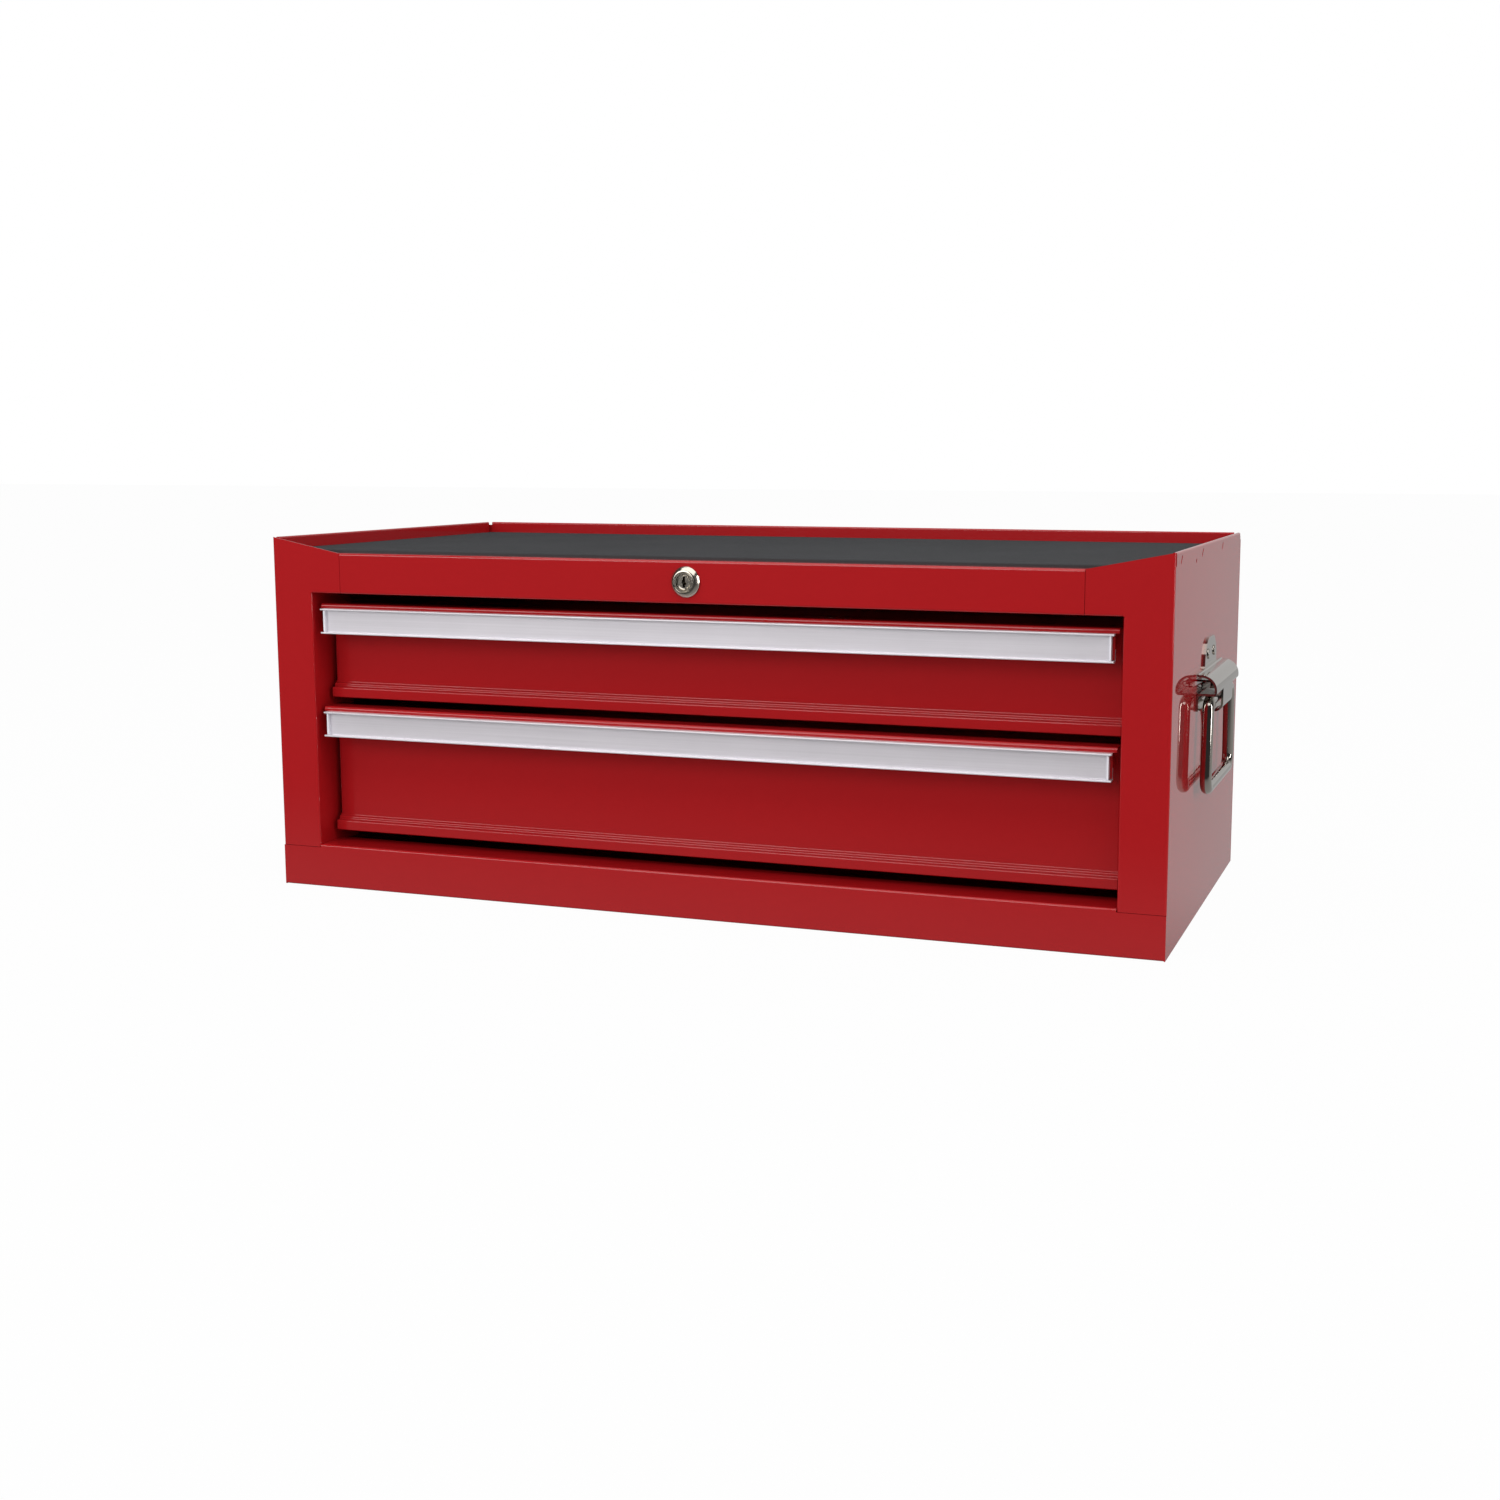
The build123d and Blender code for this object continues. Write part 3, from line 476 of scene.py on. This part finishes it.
# %% The tree of a ribbed mat
def ribbed_mat_tree():
    """Slab and ribs, centred on X and Y, with its underside at z = 0."""
    rib_sides = 10
    rib_end_gap = 0.0012
    tree = bpy.data.node_groups.new("ribbed_mat", "GeometryNodeTree")
    sizes = {"Width": 0.6, "Depth": 0.3, "Slab": 0.0017, "Rib Radius": 0.0007, "Pitch": 0.003}
    for label, value in sizes.items():
        socket = tree.interface.new_socket(name=label, in_out="INPUT", socket_type="NodeSocketFloat")
        socket.default_value = value
    tree.interface.new_socket(name="Finish", in_out="INPUT", socket_type="NodeSocketMaterial")
    tree.interface.new_socket(name="Geometry", in_out="OUTPUT", socket_type="NodeSocketGeometry")
    source = tree.nodes.new("NodeGroupInput").outputs
    target = tree.nodes.new("NodeGroupOutput").inputs

    def times(first, second):
        return math_node(tree, "MULTIPLY", first, second)

    def combine(x, y, z):
        node = tree.nodes.new("ShaderNodeCombineXYZ")
        for socket, value in zip(node.inputs, (x, y, z)):
            feed(tree, value, socket)
        return node.outputs["Vector"]

    slab = tree.nodes.new("GeometryNodeMeshCube")
    joined(tree, combine(source["Width"], source["Depth"], source["Slab"]), slab.inputs["Size"])
    lift = tree.nodes.new("GeometryNodeTransform")
    joined(tree, slab.outputs["Mesh"], lift.inputs["Geometry"])
    joined(tree, combine(0.0, 0.0, times(source["Slab"], 0.5)), lift.inputs["Translation"])

    rib_line = tree.nodes.new("GeometryNodeCurvePrimitiveLine")
    half_rib = math_node(tree, "SUBTRACT", times(source["Width"], 0.5), rib_end_gap)
    joined(tree, combine(times(half_rib, -1.0), 0.0, 0.0), rib_line.inputs["Start"])
    joined(tree, combine(half_rib, 0.0, 0.0), rib_line.inputs["End"])
    rib_round = tree.nodes.new("GeometryNodeCurvePrimitiveCircle")
    rib_round.inputs["Resolution"].default_value = rib_sides
    joined(tree, source["Rib Radius"], rib_round.inputs["Radius"])
    rib = tree.nodes.new("GeometryNodeCurveToMesh")
    rib.inputs["Fill Caps"].default_value = True
    joined(tree, rib_line.outputs["Curve"], rib.inputs["Curve"])
    joined(tree, rib_round.outputs["Curve"], rib.inputs["Profile Curve"])

    usable = math_node(tree, "SUBTRACT", source["Depth"], times(source["Rib Radius"], 4.0))
    count = math_node(tree, "FLOOR", math_node(tree, "DIVIDE", usable, source["Pitch"]), 0.0)
    seats = tree.nodes.new("GeometryNodeMeshLine")
    seats.mode = "OFFSET"
    joined(tree, math_node(tree, "ADD", count, 1.0), seats.inputs["Count"])
    first_seat = times(times(count, source["Pitch"]), -0.5)
    joined(tree, combine(0.0, first_seat, source["Slab"]), seats.inputs["Start Location"])
    joined(tree, combine(0.0, source["Pitch"], 0.0), seats.inputs["Offset"])
    ribs = tree.nodes.new("GeometryNodeInstanceOnPoints")
    joined(tree, seats.outputs["Mesh"], ribs.inputs["Points"])
    joined(tree, rib.outputs["Mesh"], ribs.inputs["Instance"])

    both = tree.nodes.new("GeometryNodeJoinGeometry")
    joined(tree, lift.outputs["Geometry"], both.inputs["Geometry"])
    joined(tree, ribs.outputs["Instances"], both.inputs["Geometry"])
    real = tree.nodes.new("GeometryNodeRealizeInstances")
    joined(tree, both.outputs["Geometry"], real.inputs["Geometry"])
    painted = tree.nodes.new("GeometryNodeSetMaterial")
    joined(tree, real.outputs["Geometry"], painted.inputs["Geometry"])
    joined(tree, source["Finish"], painted.inputs["Material"])
    joined(tree, painted.outputs["Geometry"], target["Geometry"])
    return tree


ribbed_mat = ribbed_mat_tree()


# %% Helpers that run the tree and lay a mat
def grown(name, tree, values):
    """A plain mesh object from a geometry tree and the values of its inputs."""
    carrier = new_object(name + "_carrier", bpy.data.meshes.new(name + "_carrier"))
    modifier = carrier.modifiers.new("grow", "NODES")
    modifier.node_group = tree
    for item in tree.interface.items_tree:
        if item.in_out == "INPUT" and item.name in values:
            modifier[item.identifier] = values[item.name]
    graph = bpy.context.evaluated_depsgraph_get()
    mesh = bpy.data.meshes.new_from_object(carrier.evaluated_get(graph))
    mesh.name = name
    carrier.modifiers.remove(modifier)
    bpy.data.objects.remove(carrier)
    return new_object(name, mesh)


def lay_mat(name, node, slot, body, pitch, rib_radius):
    """A ribbed mat that fills the box of its CAD node and takes its place."""
    low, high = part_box(node)
    size = high - low
    mat = grown(name, ribbed_mat, {
        "Width": size.x, "Depth": size.y, "Slab": size.z - rib_radius, "Rib Radius": rib_radius,
        "Pitch": pitch, "Finish": finishes[slot],
    })
    mat.data.transform(Matrix.Translation(((low.x + high.x) / 2, (low.y + high.y) / 2, low.z)))
    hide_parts(node)
    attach(mat, body)
    print(name, "faces", len(mat.data.polygons))
    return mat


# %% Mat and liners
lay_mat("ribbed_top_mat", "top_mat", "mat_rubber", "cabinet", pitch=0.0032, rib_radius=0.0007)
for level in ("upper", "lower"):
    lay_mat(
        f"{level}_ribbed_liner", f"{level}_drawer_liner", "liner_rubber", f"{level}_drawer",
        pitch=0.0042, rib_radius=0.0005,
    )

# %% [markdown]
# ## Turned pieces of the lock
#
# The lock is turned on a lathe, so its housing and its plug are drawn as half profiles and spun
# about the lock's axis. The rim of the housing leans back as a bright bevel, a fine groove parts it
# from an inner ring, and the plug sits just inside with its own low rim. The keyway is cut after the
# plug is spun, as it is broached in the real one.


# %% Helpers that spin a profile and smooth it
def spun(name, profile, axis_z, segments=96):
    """A closed ring of profile points (y, radius) in millimetres, spun about the line along Y at axis_z."""
    work = bmesh.new()
    rings = []
    for step in range(segments):
        angle = 2 * pi * step / segments
        rings.append([
            work.verts.new((r * sin(angle) * mm, y * mm, (axis_z + r * cos(angle)) * mm))
            for y, r in profile
        ])
    count = len(profile)
    for step in range(segments):
        this, following = rings[step], rings[(step + 1) % segments]
        for i in range(count):
            j = (i + 1) % count
            work.faces.new((this[i], this[j], following[j], following[i]))
    bmesh.ops.remove_doubles(work, verts=work.verts, dist=1e-7)
    bmesh.ops.dissolve_degenerate(work, edges=work.edges, dist=1e-8)
    bmesh.ops.recalc_face_normals(work, faces=work.faces)
    mesh = bpy.data.meshes.new(name)
    work.to_mesh(mesh)
    work.free()
    return new_object(name, mesh)


def smooth_by_angle(piece, limit=30):
    """Smooth faces, with every edge sharper than the limit kept crisp."""
    for face in piece.data.polygons:
        face.use_smooth = True
    work = bmesh.new()
    work.from_mesh(piece.data)
    for edge in work.edges:
        edge.smooth = len(edge.link_faces) == 2 and edge.calc_face_angle() < radians(limit)
    work.to_mesh(piece.data)
    work.free()


# %% Housing
lock_z = 234.5
front = -158.0
housing_profile = [
    (front - 4.0, 5.62), (front - 4.0, 6.5), (front - 3.7, 6.75), (front - 3.7, 7.1), (front - 4.0, 7.35),
    (front - 3.95, 7.9), (front - 3.5, 8.6), (front - 1.6, 10.2), (front - 1.0, 10.6), (front, 10.6),
    (front, 9.0), (front + 24.0, 9.0), (front + 24.0, 5.62),
]
housing = spun("turned_lock_housing", housing_profile, lock_z)
housing.data.materials.append(nickel)
smooth_by_angle(housing)
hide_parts("lock_housing")
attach(housing, "cabinet")

# %% Plug
plug_profile = [
    (front - 2.9, 0.0), (front - 2.9, 4.3), (front - 3.2, 4.6), (front - 3.4, 4.9), (front - 3.4, 5.1),
    (front - 3.1, 5.5), (front + 24.2, 5.5), (front + 24.2, 4.0), (front + 29.0, 4.0), (front + 29.0, 0.0),
]
plug = spun("turned_lock_plug", plug_profile, lock_z)
plug.data.materials.append(nickel)

# %% Keyway
# its outline, seen from the front: a tall slot with two steps, as the wards leave it
keyway_outline = [
    (-1.0, -3.6), (0.9, -3.6), (0.9, -1.9), (1.7, -1.9), (1.7, 0.1), (0.9, 0.1),
    (0.9, 3.6), (-0.9, 3.6), (-0.9, 1.4), (-1.5, 1.4), (-1.5, -0.3), (-1.0, -0.3),
]
keyway_start = front - 8.0
keyway_end = front + 10.0
cutter_work = bmesh.new()
near, far = (
    [cutter_work.verts.new((x * mm, y * mm, (lock_z + z) * mm)) for x, z in keyway_outline]
    for y in (keyway_start, keyway_end)
)
cutter_work.faces.new(near)
cutter_work.faces.new(far[::-1])
for i in range(len(near)):
    j = (i + 1) % len(near)
    cutter_work.faces.new((near[j], near[i], far[i], far[j]))
bmesh.ops.recalc_face_normals(cutter_work, faces=cutter_work.faces)
cutter_mesh = bpy.data.meshes.new("keyway_cutter")
cutter_work.to_mesh(cutter_mesh)
cutter_work.free()
cutter = new_object("keyway_cutter", cutter_mesh)
keyway = plug.modifiers.new("keyway", "BOOLEAN")
keyway.operation = "DIFFERENCE"
keyway.solver = "EXACT"
keyway.object = cutter
graph = bpy.context.evaluated_depsgraph_get()
cut_mesh = bpy.data.meshes.new_from_object(plug.evaluated_get(graph))
plug.modifiers.remove(keyway)
plug.data = cut_mesh
bpy.data.objects.remove(cutter)
smooth_by_angle(plug)
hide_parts("lock_plug")
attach(plug, "lock_core")
print("plug faces", len(plug.data.polygons))
